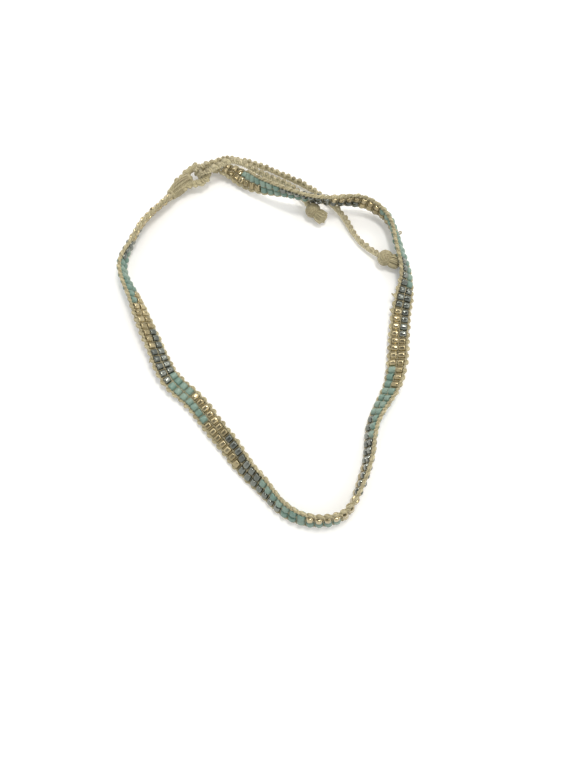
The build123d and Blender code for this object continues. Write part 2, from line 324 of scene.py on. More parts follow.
class Skein:
    """Strands that become one mesh, with the way along and round each strand as its UV map."""

    def __init__(self):
        self.vertices, self.tones, self.faces, self.ways = [], [], [], []
        self.count = 0

    def strand(self, points, radius, sides=8, outward=None, flat=1.0, closed=False, tone=0.5):
        """Sweeps a section along the points. flat is the section's breadth over its height."""
        points = np.asarray(points, float)
        radius = np.broadcast_to(np.asarray(radius, float), len(points)).copy()
        if closed:
            tangents = unit(np.roll(points, -1, axis=0) - np.roll(points, 1, axis=0))
        else:
            tangents = unit(np.gradient(points, axis=0))
            dome = radius[[0, -1]] * DOME
            tips = points[0] - tangents[0] * dome[0], points[-1] + tangents[-1] * dome[1]
            points = np.vstack([tips[0], points, tips[1]])
            radius = np.concatenate([dome[:1], radius, dome[1:]])
            tangents = np.vstack([tangents[0], tangents, tangents[-1]])
            if outward is not None:
                outward = np.vstack([outward[0], outward, outward[-1]])
        if outward is None:
            normals = carried_normals(tangents)
        else:
            normals = unit(outward - tangents * np.sum(outward * tangents, axis=1, keepdims=True))
        sideways = np.cross(tangents, normals) * flat
        ring = spokes(round_steps(sides), normals[:, None], sideways[:, None])
        rings = points[:, None] + ring * radius[:, None, None]

        rows = len(points)
        i, j, i_next, j_next = grid_steps(rows, sides, closed)
        quads = [i * sides + j, i * sides + j_next, i_next * sides + j_next, i_next * sides + j]
        self.faces += (np.stack(quads, axis=1) + self.count).tolist()
        reach = np.append(reach_along(points), 0.0)
        if closed:
            reach[-1] = reach[-2] + np.linalg.norm(points[0] - points[-1])
        here, ahead = reach[i], reach[i + 1]
        turn_here, turn_ahead = j / sides, (j + 1) / sides
        corners = [(here, turn_here), (here, turn_ahead), (ahead, turn_ahead), (ahead, turn_here)]
        corners = [np.stack(corner, axis=1) for corner in corners]
        self.ways.append(np.stack(corners, axis=1).reshape(-1, 2))
        if not closed:
            last = (rows - 1) * sides
            self.faces.append([self.count + k for k in reversed(range(sides))])
            self.faces.append([self.count + last + k for k in range(sides)])
            self.ways.append(np.tile([[0.0, 0.5]], (2 * sides, 1)))
        self.vertices.append(rings.reshape(-1, 3))
        self.tones.append(np.full(rows * sides, tone))
        self.count += rows * sides

    def turns(self, centre, angle, first, second, radius, thread, sides, tone):
        """A strand wound about a line of centres, from the first direction towards the second."""
        ring = spokes(angle, first, second)
        self.strand(centre + ring * radius[:, None], thread, sides=sides, outward=ring, tone=tone)

    def piece(self, name, material, slot, *nodes):
        """The skein as one object, in the place of the frame's nodes."""
        ways = np.vstack(self.ways)
        return new_piece(name, self.vertices, self.faces, self.tones, material, nodes, ways)


# %% One object from many strands
def new_piece(name, vertices, faces, tones, material, nodes, ways=None):
    """One smooth mesh object that rides on the frame and stands for some of its nodes."""
    mesh = bpy.data.meshes.new(name)
    mesh.from_pydata(np.vstack(vertices), [], faces)
    mesh.attributes.new("tone", "FLOAT", "POINT").data.foreach_set("value", np.concatenate(tones))
    if ways is not None:
        mesh.uv_layers.new(name="way").uv.foreach_set("vector", ways.astype(np.float32).ravel())
    mesh.shade_smooth()
    mesh.materials.append(material)
    obj = add_object(name, mesh)
    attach(obj, "root")
    if nodes:
        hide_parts(*nodes)
    triangles = sum(len(face) - 2 for face in faces)
    print(f"{name}: {triangles} triangles")
    return obj


# %% [markdown]
# ## Finishes
# Two effects are shared by several materials, so each is a node group. The first is the twist of a
# thread: its plies climb round it, with loose fibres across, and painted shade darkens the furrows
# between them. It reads the skein's UV map, so the pattern follows every bend. The second is a bead's
# glaze: each bead has a tone of its own, and the glaze mottles a little over it.

# %% Small helpers for nodes
BLACK = (0.0, 0.0, 0.0, 1.0)


def group_with(name, inputs, outputs):
    """An empty shader node group with its input and output nodes. A tuple stands for a colour."""
    tree = bpy.data.node_groups.new(name, "ShaderNodeTree")
    for way_in_or_out, sockets in (("INPUT", inputs), ("OUTPUT", outputs)):
        for label, value in sockets.items():
            kind = "NodeSocketColor" if isinstance(value, tuple) else "NodeSocketFloat"
            socket = tree.interface.new_socket(label, in_out=way_in_or_out, socket_type=kind)
            socket.default_value = value
    return tree, tree.nodes.new("NodeGroupInput"), tree.nodes.new("NodeGroupOutput")


def feed(tree, socket, value):
    """Feeds an input from another socket, or sets it to a plain value."""
    if isinstance(value, bpy.types.NodeSocket):
        tree.links.new(value, socket)
    elif value is not None:
        socket.default_value = value


def set_inputs(node, values):
    """Sets inputs of a node to plain values."""
    for label, value in values.items():
        node.inputs[label].default_value = value


def maths(tree, operation, first, second=None, clamp=False):
    """A Math node fed by sockets or numbers, and its result."""
    node = tree.nodes.new("ShaderNodeMath")
    node.operation = operation
    node.use_clamp = clamp
    feed(tree, node.inputs[0], first)
    feed(tree, node.inputs[1], second)
    return node.outputs[0]


def times(tree, first, second, clamp=False):
    return maths(tree, "MULTIPLY", first, second, clamp)


def plus(tree, first, second):
    return maths(tree, "ADD", first, second)


def blended(tree, share, first, second):
    """A colour Mix node and its result. The colours are sockets or plain colours."""
    node = tree.nodes.new("ShaderNodeMix")
    node.data_type = "RGBA"
    for index, value in ((0, share), (6, first), (7, second)):
        feed(tree, node.inputs[index], value)
    return node.outputs[2]


def noise(tree, size, detail=2.0):
    """A noise value that repeats over about this size in metres."""
    node = tree.nodes.new("ShaderNodeTexNoise")
    set_inputs(node, {"Scale": 1.0 / size, "Detail": detail})
    place = tree.nodes.new("ShaderNodeTexCoord")
    tree.links.new(place.outputs["Object"], node.inputs["Vector"])
    return node.outputs["Fac"]


def own_tone(tree):
    """The tone that each strand or bead carries."""
    node = tree.nodes.new("ShaderNodeAttribute")
    node.attribute_name = "tone"
    return node.outputs["Fac"]


# %% The twist of a thread
CROWN_SHAPE = 0.6  # below one, the plies are broad and the furrows between them narrow
FIBRE_SIZE = 0.06 * MM
FIBRE_IN_COLOUR = 0.35
FIBRE_IN_RELIEF = 0.4
PATCH_SIZE = 2.6 * MM
PATCH_SHARE = 0.9
THREAD_TONE_SHARE = 0.5

twist, twist_in, twist_out = group_with(
    "thread_twist",
    {"Thread": (0.5, 0.4, 0.2, 1), "Furrow shade": (0.2, 0.15, 0.06, 1), "Turns per mm": 1.0, "Plies": 3.0},
    {"Color": BLACK, "Height": 0.0},
)
way = twist.nodes.new("ShaderNodeUVMap")
way.uv_map = "way"
split = twist.nodes.new("ShaderNodeSeparateXYZ")
twist.links.new(way.outputs["UV"], split.inputs[0])
along_mm = maths(twist, "DIVIDE", split.outputs[0], MM)
climb = times(twist, along_mm, twist_in.outputs["Turns per mm"])
around = times(twist, split.outputs[1], twist_in.outputs["Plies"])
ply = maths(twist, "FRACT", plus(twist, climb, around))
hump = maths(twist, "SINE", times(twist, ply, pi))
crown = maths(twist, "POWER", hump, CROWN_SHAPE)
fibre = noise(twist, FIBRE_SIZE, detail=3.0)
patches = times(twist, noise(twist, PATCH_SIZE), PATCH_SHARE)
worn = plus(twist, patches, times(twist, own_tone(twist), THREAD_TONE_SHARE))
fuzzy = plus(twist, crown, times(twist, fibre, FIBRE_IN_COLOUR))
# Painted shade: the colour runs from the thread's own colour on the crowns to the furrow shade between the
# plies, and the patches and each strand's tone vary it at random.
lit = times(twist, fuzzy, worn, clamp=True)
thread_colour = blended(twist, lit, twist_in.outputs["Furrow shade"], twist_in.outputs["Thread"])
twist.links.new(thread_colour, twist_out.inputs["Color"])
relief = plus(twist, crown, times(twist, fibre, FIBRE_IN_RELIEF))
twist.links.new(relief, twist_out.inputs["Height"])

# %% The glaze of a bead
MOTTLE_SIZE = 0.5 * MM
MOTTLE_SHARE = 0.45
PIT_SIZE = 0.12 * MM
BEAD_TONE_SHARE = 0.7

glaze, glaze_in, glaze_out = group_with(
    "bead_glaze",
    {"Glass": (0.2, 0.4, 0.4, 1), "Deep": (0.1, 0.2, 0.2, 1), "Smoothest": 0.15, "Dullest": 0.35},
    {"Color": BLACK, "Roughness": 0.0, "Height": 0.0},
)
mottle = noise(glaze, MOTTLE_SIZE, detail=3.0)
bead_tone = times(glaze, own_tone(glaze), BEAD_TONE_SHARE)
depth = plus(glaze, bead_tone, times(glaze, mottle, MOTTLE_SHARE))
bead_colour = blended(glaze, depth, glaze_in.outputs["Glass"], glaze_in.outputs["Deep"])
glaze.links.new(bead_colour, glaze_out.inputs["Color"])
gloss_range = maths(glaze, "SUBTRACT", glaze_in.outputs["Dullest"], glaze_in.outputs["Smoothest"])
dulled = times(glaze, gloss_range, mottle)
bead_roughness = plus(glaze, glaze_in.outputs["Smoothest"], dulled)
glaze.links.new(bead_roughness, glaze_out.inputs["Roughness"])
glaze.links.new(noise(glaze, PIT_SIZE, detail=1.0), glaze_out.inputs["Height"])
print("node groups:", [tree.name for tree in bpy.data.node_groups])

# %% [markdown]
# Three threads share the twist: the olive one of the edges and knots, a paler copy of it on the
# tails, and a finer two-ply one down the middle. Three glasses share the glaze. The gold and the
# hematite ones are plated and reflect like metal, and the turquoise one is dull opaque glass.


# %% Materials
def finish(name, tree, pattern, relief, **shader_values):
    """A Principled material whose colour and bump come from a node group, fed with a pattern."""
    material = bpy.data.materials.new(name)
    material.use_nodes = True
    nodes, links = material.node_tree.nodes, material.node_tree.links
    shader = nodes["Principled BSDF"]
    set_inputs(shader, {label.replace("_", " "): value for label, value in shader_values.items()})
    group = nodes.new("ShaderNodeGroup")
    group.node_tree = tree
    for socket, value in zip(group.inputs, pattern):
        socket.default_value = value
    links.new(group.outputs["Color"], shader.inputs["Base Color"])
    if "Roughness" in group.outputs:
        links.new(group.outputs["Roughness"], shader.inputs["Roughness"])
    bump = nodes.new("ShaderNodeBump")
    bump.inputs["Distance"].default_value = relief
    links.new(group.outputs["Height"], bump.inputs["Height"])
    links.new(bump.outputs["Normal"], shader.inputs["Normal"])
    return material


# Thread colour, the painted shade of the furrows between the plies, turns for each mm, plies.
OLIVE = ((0.52, 0.46, 0.275, 1), (0.19, 0.155, 0.08, 1), 0.9, 3.0)
PALE = ((0.63, 0.565, 0.365, 1), (0.18, 0.145, 0.075, 1), 0.9, 3.0)
LIGHT = ((0.60, 0.54, 0.35, 1), (0.27, 0.23, 0.13, 1), 1.2, 2.0)
# Lightest and deepest glaze, roughness where smoothest and where dullest.
GOLD = ((0.53, 0.45, 0.27, 1), (0.31, 0.255, 0.14, 1), 0.10, 0.26)
HEMATITE = ((0.25, 0.265, 0.235, 1), (0.12, 0.13, 0.115, 1), 0.08, 0.22)
TURQUOISE = ((0.25, 0.33, 0.268, 1), (0.12, 0.212, 0.174, 1), 0.26, 0.48)

olive_thread = finish("olive_waxed_thread", twist, OLIVE, 0.04 * MM, Roughness=0.55, Sheen_Weight=0.15)
tail_thread = finish("tail_waxed_thread", twist, PALE, 0.04 * MM, Roughness=0.55, Sheen_Weight=0.15)
light_thread = finish("light_waxed_thread", twist, LIGHT, 0.03 * MM, Roughness=0.5, Sheen_Weight=0.15)
GLASS = {
    "gold": finish("gold_bead_glass", glaze, GOLD, 0.004 * MM, Metallic=1.0, Coat_Weight=0.3),
    "hematite": finish("hematite_bead_glass", glaze, HEMATITE, 0.003 * MM, Metallic=1.0, Coat_Weight=0.2),
    "turquoise": finish("turquoise_bead_glass", glaze, TURQUOISE, 0.006 * MM, Specular_IOR_Level=0.4),
}
print("materials:", [material.name for material in bpy.data.materials])

# %% [markdown]
# ## The beads
# A seed bead is a short tube of glass, cut from a long one and tumbled until its rims are round. Its
# hole lies across the band. A torus is too round and a cylinder too sharp, so one closed profile, from
# the hole over the rim, the shoulder and the barrel, is turned about the hole. No two seed beads are
# quite alike, so each gets its own size, tilt and tone from a seeded generator.

# %% Turn and seat the beads
GLASS_DIAMETER = 0.00193  # a little fuller than the frame's solid, so that the rows touch
GLASS_LENGTH = 0.00164
BEAD_SEGMENTS = 24
HALF_PROFILE = [  # half lengths and radii of a bead of length and diameter 1
    (0.34, 0.181347), (0.46, 0.196347), (0.5, 0.251347),  # the hole and its rim
    (0.5, 0.33), (0.477927, 0.415), (0.417622, 0.469904), (0.335244, 0.49),  # the end and shoulder
    (0.2, 0.5),  # the barrel
]
PROFILE = np.array(HALF_PROFILE + [(-x, r) for x, r in reversed(HALF_PROFILE)])
LENGTH_SPREAD, DIAMETER_SPREAD = 0.035, 0.022
TILT_SPREAD = radians(3.5)
SHIFT_SPREAD = (0.03 * MM, 0.02 * MM, 0.02 * MM)

COLOURS = ("gold", "hematite", "turquoise")  # run after run, in this order
RUNS = {
    "a": (6, 4, 7, 6, 7, 4, 7, 7, 7, 7, 7, 7, 7, 7, 8, 7, 7, 7, 7),
    "b": (9, 3, 7, 7, 5, 7, 7, 7, 7, 7, 6, 7, 8, 7, 8, 7, 7, 7, 3),
}
SIGN = {"a": -1, "b": 1}


def bead_run(name, node, glass, rows, aside, rng):
    """The beads of one run, each turned from the profile and seated on its row."""
    along, across, face = directions(rows)
    seats = on_band(rows, np.full(len(rows), aside))
    angle = round_steps(BEAD_SEGMENTS)
    rings = len(PROFILE)
    i, j, i_next, j_next = grid_steps(rings, BEAD_SEGMENTS, closed=True)
    corners = [(i, j), (i_next, j), (i_next, j_next), (i, j_next)]
    quads = np.stack([ring * BEAD_SEGMENTS + segment for ring, segment in corners], axis=1)
    vertices, faces, tones = [], [], []
    for k, seat in enumerate(seats):
        length = GLASS_LENGTH * (1 + LENGTH_SPREAD * rng.standard_normal())
        diameter = GLASS_DIAMETER * (1 + DIAMETER_SPREAD * rng.standard_normal())
        axes = np.stack([across[k], along[k], face[k]])
        axes = np.array(Matrix.Rotation(TILT_SPREAD * rng.standard_normal(), 3, along[k])) @ axes.T
        axes = (np.array(Matrix.Rotation(TILT_SPREAD * rng.standard_normal(), 3, face[k])) @ axes).T
        barrel = PROFILE[:, 1, None] * diameter
        local = (
            PROFILE[:, 0, None, None] * length * axes[0]
            + (barrel * np.cos(angle))[..., None] * axes[1]
            + (barrel * np.sin(angle))[..., None] * axes[2]
        )
        shift = axes.T @ (rng.standard_normal(3) * SHIFT_SPREAD)
        vertices.append((local + seat + shift).reshape(-1, 3))
        faces += (quads + k * rings * BEAD_SEGMENTS).tolist()
        tones.append(np.full(rings * BEAD_SEGMENTS, rng.random()))
    return new_piece(name, vertices, faces, tones, glass, [node])


bead_rng = np.random.default_rng(11)
for column, counts in RUNS.items():
    first = 0
    for index, count in enumerate(counts):
        colour = COLOURS[index % len(COLOURS)]
        label = f"{column}_{index + 1:02d}_{colour}"
        rows, aside = row_reach[first : first + count], SIGN[column] * COLUMN_OFFSET
        bead_run(f"glass_{label}", f"beads_{label}", GLASS[colour], rows, aside, bead_rng)
        first += count

# %% [markdown]
# ## Hitched cords
# The edges, the eye loop and the tails are all made the same way: a working thread is hitched about a
# core, over and over. Each hitch is a couple of wraps and a knuckle, where the thread crosses itself
# on one side. The wraps are one long helix whose coils lean, and the knuckles are short arched strands
# on top. A track holds the core's line with a side for the knuckles, so one function makes them all.

# %% Tracks
Track = namedtuple("Track", "reach centre side face")
Hitch = namedtuple("Hitch", "pitch wraps breadth height thread")
Knuckle = namedtuple("Knuckle", "height span plump darkest lightest")
WRAP_STEPS = 14
WRAP_SLANT = 0.4  # how far a coil leans, in threads
WRAP_WANDER = 0.2  # how far it strays, in threads
WRAP_SWELL = 0.08
CORE_TONE = 0.2
CORE_STEPS = 3  # for each hitch
KNUCKLE_STEPS = 9
KNUCKLE_STRAY = 0.05  # of the pitch
KNUCKLE_SPREAD = 0.08
KNUCKLE_SKEW, SKEW_SPREAD = 34, 10  # degrees
KNUCKLE_FOOT = 0.85  # a knuckle's thickness where it dives under, in threads
KNUCKLE_OVER = 0.3  # how far it rides over the wraps, in threads


def read_off(wanted, reach, vectors):
    """Vectors read between the rows of a table at the wanted reaches."""
    return np.stack([np.interp(wanted, reach, vectors[:, axis]) for axis in range(3)], axis=1)


def on_track(track, reach, aside, proud):
    """Places beside a track: aside towards its knuckles, proud towards its face."""
    centre, side, face = (read_off(reach, track.reach, vectors) for vectors in track[1:])
    return centre + side * np.reshape(aside, (-1, 1)) + face * np.reshape(proud, (-1, 1))


def rolling(rng, count, spread, every):
    """Random values that change smoothly, with a new one for each stretch of this many steps."""
    stretches = ceil(count / every) + 2
    return np.interp(np.arange(count) / every, np.arange(stretches), rng.standard_normal(stretches) * spread)


# %% Hitches
def full_size(reach):
    """The size of a cord that nothing squeezes."""
    return np.ones(np.shape(reach))


def squeezed_at(place, least, grip, ease):
    """The size of a cord that is squeezed at one place and eases back to full on both sides."""

    def size(reach):
        return least + (1 - least) * np.clip((np.abs(reach - place) - grip) / ease, 0, 1)

    return size


def hitches(skein, track, first, last, hitch, rng, knuckle=None, size=full_size, tone=0.65):
    """Hitches about a core, between two reaches of a track. Breadth and height are half the core's,
    to the thread's middle, and size is a function of the reach."""
    knots = max(1, round((last - first) / hitch.pitch))
    pitch = (last - first) / knots
    steps = WRAP_STEPS * hitch.wraps * knots
    angle = 2 * pi * np.arange(steps + 1) / WRAP_STEPS
    reach = first + pitch * angle / (2 * pi * hitch.wraps) + WRAP_SLANT * hitch.thread * np.sin(angle)
    reach = reach + rolling(rng, steps + 1, WRAP_WANDER * hitch.thread, WRAP_STEPS)
    reach = np.clip(reach, track.reach[0], track.reach[-1])
    fit = size(reach)
    swell = fit * (1 + rolling(rng, steps + 1, WRAP_SWELL, WRAP_STEPS // 2))
    aside, proud = hitch.breadth * np.cos(angle) * swell, hitch.height * np.sin(angle) * swell
    coil = on_track(track, reach, aside, proud)
    away = coil - on_track(track, reach, 0.0, 0.0)
    skein.strand(coil, hitch.thread * fit, sides=7, outward=away, tone=tone)
    stretch = np.linspace(first, last, max(2, knots * CORE_STEPS))
    line = on_track(track, stretch, 0.0, 0.0)
    outward = on_track(track, stretch, 1.0, 0.0) - line
    flat = hitch.height / hitch.breadth
    skein.strand(line, hitch.breadth * size(stretch), sides=8, outward=outward, flat=flat, tone=CORE_TONE)
    if knuckle is None:
        return
    t = np.linspace(-1, 1, KNUCKLE_STEPS)
    arch = 1 - t * t
    for k in range(knots):
        top = first + pitch * (k + 0.5) + rng.standard_normal() * KNUCKLE_STRAY * pitch
        reach = np.clip(top + knuckle.span * pitch * t, track.reach[0], track.reach[-1])
        fit = size(top) * (1 + KNUCKLE_SPREAD * rng.standard_normal())
        skew = radians(KNUCKLE_SKEW + SKEW_SPREAD * rng.standard_normal())
        aside = hitch.breadth * np.cos(skew * t) * fit + knuckle.height * arch * fit
        proud = (hitch.height + KNUCKLE_OVER * hitch.thread) * np.sin(skew * t) * fit
        breadth = hitch.thread * fit * (KNUCKLE_FOOT + (knuckle.plump - KNUCKLE_FOOT) * arch)
        shade = rng.uniform(knuckle.darkest, knuckle.lightest)
        skein.strand(on_track(track, reach, aside, proud), breadth, sides=8, tone=shade)


# %% [markdown]
# ## The knotted edges
# On the real band each row ends in a hitch about the edge's core, so the edge has one knuckle for
# each row, and it is about twice as high as it is broad. At the two ends the edges leave the beads and
# draw in to the bindings, with plain wraps and no knuckles.

# %% Edges
WRAP_LENGTH = 0.0019
SLANT_GAP = 0.0005
GATHER_SPREAD = 0.00095
PAST_LAST_BEAD = 0.0013
EDGE_MIDDLE = 0.00200  # the hitches sit a little nearer the beads than the frame's tube
EDGE_HITCH = Hitch(pitch=ROW_PITCH, wraps=2, breadth=0.00018, height=0.00042, thread=0.00017)
BARE_HITCH = Hitch(pitch=ROW_PITCH, wraps=3, breadth=0.00022, height=0.00040, thread=0.00017)
EDGE_KNUCKLE = Knuckle(height=0.00025, span=0.39, plump=2.0, darkest=0.15, lightest=0.85)
BAND_STEPS = 2600

band_start, band_end = WRAP_LENGTH + SLANT_GAP, PLAN_LENGTH - WRAP_LENGTH - SLANT_GAP
full_start, full_end = FIRST_ROW - PAST_LAST_BEAD, row_reach[-1] + PAST_LAST_BEAD
rows_from, rows_to = row_reach[0] - ROW_PITCH / 2, row_reach[-1] + ROW_PITCH / 2
band_reach = np.linspace(band_start, band_end, BAND_STEPS)


def edge_track(sign):
    """The line of an edge, with its knuckles away from the beads."""
    spread = np.interp(
        band_reach,
        [band_start, full_start, full_end, band_end],
        [GATHER_SPREAD, EDGE_MIDDLE, EDGE_MIDDLE, GATHER_SPREAD],
    )
    _, across, face = directions(band_reach)
    return Track(band_reach, on_band(band_reach, sign * spread), across * sign, face)


edge_rng = np.random.default_rng(23)
for column, sign in SIGN.items():
    skein = Skein()
    track = edge_track(sign)
    hitches(skein, track, rows_from, rows_to, EDGE_HITCH, edge_rng, EDGE_KNUCKLE)
    hitches(skein, track, band_start, rows_from, BARE_HITCH, edge_rng)
    hitches(skein, track, rows_to, band_end, BARE_HITCH, edge_rng)
    skein.piece(f"edge_hitches_{column}", olive_thread, "olive_thread", f"edge_cord_{column}")

# %% [markdown]
# ## The threads between the beads
# A thread runs through each row's two beads from edge to edge. Between the rows it comes back through
# the grooves, on both faces. It sits high between gold beads and sinks between the other two colours,
# where the rows were pulled tighter. Down the middle a pair of light threads goes over and under, row
# by row, and keeps the two columns apart.

# %% Crossing threads
WEFT_STEPS = 13
WEFT_THREAD, WEFT_DRIFT = 0.00024, 0.00003
GROOVE_THREAD, GROOVE_LEAN, GROOVE_SPREAD = 0.00012, 0.00005, 0.06
GROOVE_ASIDE = (0, 0.0003, 0.0017, EDGE_MIDDLE)
GROOVE_HEIGHT = (0.00030, 0.00028, 0.00028, 0.00022)
SINK_ASIDE = (-0.0019, -0.0017, -0.0003, 0.0003, 0.0017, 0.0019)
SITS = {"gold": 1.0, "hematite": 0.5, "turquoise": 0.35}  # shares of the groove's height

weft_rng = np.random.default_rng(31)
weft = Skein()
reach_across = np.linspace(-EDGE_MIDDLE, EDGE_MIDDLE, WEFT_STEPS)
for row in row_reach:
    drift = weft_rng.standard_normal() * WEFT_DRIFT
    weft.strand(on_band(np.full(WEFT_STEPS, row + drift), reach_across), WEFT_THREAD, sides=6, tone=0.4)

groove_height = np.interp(np.abs(reach_across), GROOVE_ASIDE, GROOVE_HEIGHT)
sits = {}
for column, counts in RUNS.items():
    sits[column] = np.repeat([SITS[COLOURS[k % len(COLOURS)]] for k in range(len(counts))], counts)
for k, row in enumerate(np.append(row_reach, row_reach[-1] + ROW_PITCH) - ROW_PITCH / 2):
    neighbours = [max(k - 1, 0), min(k, ROWS - 1)]
    low_a, low_b = sits["a"][neighbours].min(), sits["b"][neighbours].min()
    sunk = groove_height * np.interp(reach_across, SINK_ASIDE, (1, low_a, low_a, low_b, low_b, 1))
    for face_side in (-1, 1):
        lean_along = weft_rng.standard_normal() * GROOVE_LEAN * np.linspace(-1, 1, WEFT_STEPS)
        lift = sunk * face_side * (1 + GROOVE_SPREAD * weft_rng.standard_normal())
        line, tone = on_band(row + lean_along, reach_across, lift), weft_rng.uniform(0.1, 0.3)
        weft.strand(line, GROOVE_THREAD, sides=6, tone=tone)
weft.piece("crossing_threads", olive_thread, "olive_thread")

# %% The middle pair
PAIR_THREAD = 0.00011
PAIR_ASIDE, PAIR_WANDER, PAIR_HEIGHT = 0.00005, 0.00003, 0.00050
PAIR_STEPS = 8  # points for each row

pair = Skein()
middle_reach = np.arange(full_start, full_end, ROW_PITCH / PAIR_STEPS)
swing = pi * (middle_reach - FIRST_ROW) / ROW_PITCH
for sign in (-1, 1):
    aside = sign * PAIR_ASIDE * np.sin(swing) + rolling(weft_rng, len(swing), PAIR_WANDER, PAIR_STEPS)
    proud = sign * PAIR_HEIGHT * np.cos(swing)
    pair.strand(on_band(middle_reach, aside, proud), PAIR_THREAD, sides=7, tone=0.6)
pair.piece("middle_pair", light_thread, "light_thread", "centre_cord")

# %% [markdown]
# ## The whipping at the tails' end
# At this end of the band all the threads are gathered and bound with tight turns. The whipping is a
# helix over a plump core, a little waisted, with the gathered threads showing between it and the band.


# %% Whipping
WHIP_THREAD = 0.00022
WHIP_PITCH = 1.9 * WHIP_THREAD  # the turns overlap a little
WHIP_RADIUS, WHIP_WAIST, WHIP_WANDER = 0.00128, 0.00012, 0.00002
WHIP_CORE, CORE_SHORT = 0.0011, 0.0002  # the core ends a little inside the turns
TURN_STEPS = 20
BINDING_MOUTH = 0.0016  # how far from the band's end the gathered threads reach
GATHERED, GATHERED_CLOCK = 6, 0.3  # how many, and the angle of the first
GATHERED_NEAR = 0.0009  # their ring at the binding, and how its breadth and height change
WIDER, FLATTER = 0.0007, 0.0003


def gathered(skein, near, far, rng):
    """Threads that run from the binding's mouth into the end of the band."""
    t = np.linspace(0, 1, 8)
    for k in range(GATHERED):
        clock = 2 * pi * k / GATHERED + GATHERED_CLOCK
        aside, proud = cos(clock) * (GATHERED_NEAR + WIDER * t), sin(clock) * (GATHERED_NEAR - FLATTER * t)
        line = on_band(near + (far - near) * t, aside, proud)
        skein.strand(line, WHIP_THREAD, sides=7, tone=rng.uniform(0.3, 0.7))


whip_rng = np.random.default_rng(41)
whip_near = PLAN_LENGTH - WRAP_LENGTH
whip_head, whip_foot = middle(np.array([whip_near, PLAN_LENGTH]))[0]
whip_length = np.linalg.norm(whip_head - whip_foot)
whip_axis = (whip_head - whip_foot) / whip_length
whip_side = unit(np.cross(whip_axis, [0, 0, 1.0]))
whip_turns = int(whip_length / WHIP_PITCH)
angle = np.linspace(0, 2 * pi * whip_turns, TURN_STEPS * whip_turns)
travel = WHIP_THREAD + (whip_length - 2 * WHIP_THREAD) * angle / angle[-1]
waisted = WHIP_RADIUS - WHIP_WAIST * np.sin(pi * travel / whip_length)
waisted = waisted + rolling(whip_rng, len(angle), WHIP_WANDER, TURN_STEPS // 2)
whip_line = whip_foot + np.outer(travel, whip_axis)
core_ends = [CORE_SHORT, whip_length / 2, whip_length - CORE_SHORT]

binding = Skein()
binding.turns(whip_line, angle, whip_side, np.cross(whip_side, whip_axis), waisted, WHIP_THREAD, 8, 0.5)
binding.strand(whip_foot + np.outer(core_ends, whip_axis), WHIP_CORE, sides=16, tone=0.1)
gathered(binding, whip_near, band_end - BINDING_MOUTH, whip_rng)
binding.piece("tail_binding", olive_thread, "olive_thread", "tail_whipping")

# %% [markdown]
# ## Loose bits
# Hand work leaves a few threads that never lay down. One hitch stands off the edge as a small open
# ring, and three more end in a nub where the thread was joined and cut. They are short bent strands of
# the same thread, rooted in the edge's knuckles.

# %% Loose bits
RING_ROW = 97
RING_RADIUS = 0.00042
RING_BREADTH = 0.8  # along the band, as a share of its height
RING_THREAD = 0.00018
RING_ASIDE, RING_PROUD = 0.0010, -0.0012  # where the ring springs
NUBS = {27: 0.00095, 86: 0.0010, 88: 0.00135}  # rows, and how far each nub stands out
NUB_FOOT, NUB_LEAN, NUB_BOW = 0.0002, 0.0003, 0.00015
NUB_THREAD = (0.00017, 0.00024, 0.00014)  # at the foot, under the tip and at the tip

loose = Skein()
around = round_steps(24)
ring_reach = row_reach[RING_ROW] + RING_RADIUS * RING_BREADTH * np.sin(around)
ring_line = on_band(ring_reach, RING_ASIDE, RING_PROUD - RING_RADIUS * np.cos(around))
loose.strand(ring_line, RING_THREAD, sides=7, closed=True, tone=-0.1)
edge_b_track = edge_track(SIGN["b"])
out = np.linspace(0, 1, 7)
for row, tall in NUBS.items():
    stem_out = NUB_FOOT + (tall - NUB_FOOT) * out
    stem = on_track(edge_b_track, row_reach[row] + NUB_LEAN * out**2, stem_out, NUB_BOW * np.sin(pi * out))
    loose.strand(stem, np.interp(out, [0, 0.7, 1], NUB_THREAD), sides=7, tone=0.3)
loose.piece("loose_threads", olive_thread, "olive_thread")

# %% [markdown]
# ## The eye loop
# The eye is the same hitched cord, bent round on itself. Its knuckles are on the outside of the loop,
# and it is squeezed where the tails fold round its tip. Its line is another NURBS curve.

# %% Eye loop
# Each point: along and aside from the foot of the eye, and height above the table, in mm.
EYE = [
    (0.45, 0.92, 2.60), (2.60, 1.60, 2.30), (4.80, 2.47, 2.40), (7.20, 2.42, 2.75),
    (9.40, 1.35, 2.85), (9.40, -1.45, 2.85), (8.20, -2.97, 2.80), (6.30, -3.08, 2.70),
    (4.40, -1.95, 2.40), (2.60, -0.85, 2.30), (0.45, -0.92, 2.60),
]
EYE_HITCH = Hitch(pitch=0.00175, wraps=3, breadth=0.00068, height=0.00068, thread=0.00028)
EYE_KNUCKLE = Knuckle(height=0.00018, span=0.34, plump=2.0, darkest=0.1, lightest=0.7)

eye_foot = middle(np.array([0.0]))[0][0]
eye_tip = (TAIL_A_ROUTE[0] + TAIL_B_ROUTE[0]) / 2
eye_along = unit((eye_tip - eye_foot) * [1, 1, 0])
eye_aside = np.cross([0, 0, 1.0], eye_along)


def eye_point(point):
    """The place of one point of the eye."""
    along, aside, height = (MM * length for length in point)
    flat = eye_foot + eye_along * along + eye_aside * aside
    return (flat[0], flat[1], height)


eye_line = smooth_line("eye_line", [eye_point(point) for point in EYE])
eye_reach = reach_along(eye_line)
eye_length = eye_reach[-1]
eye_tangent = unit(np.gradient(eye_line, axis=0))
eye_outward = unit(np.cross(eye_tangent, [0, 0, -1.0]))
eye_track = Track(eye_reach, eye_line, eye_outward, np.cross(eye_tangent, eye_outward))
print(f"the eye's line is {eye_length * 1000:.1f} mm long")

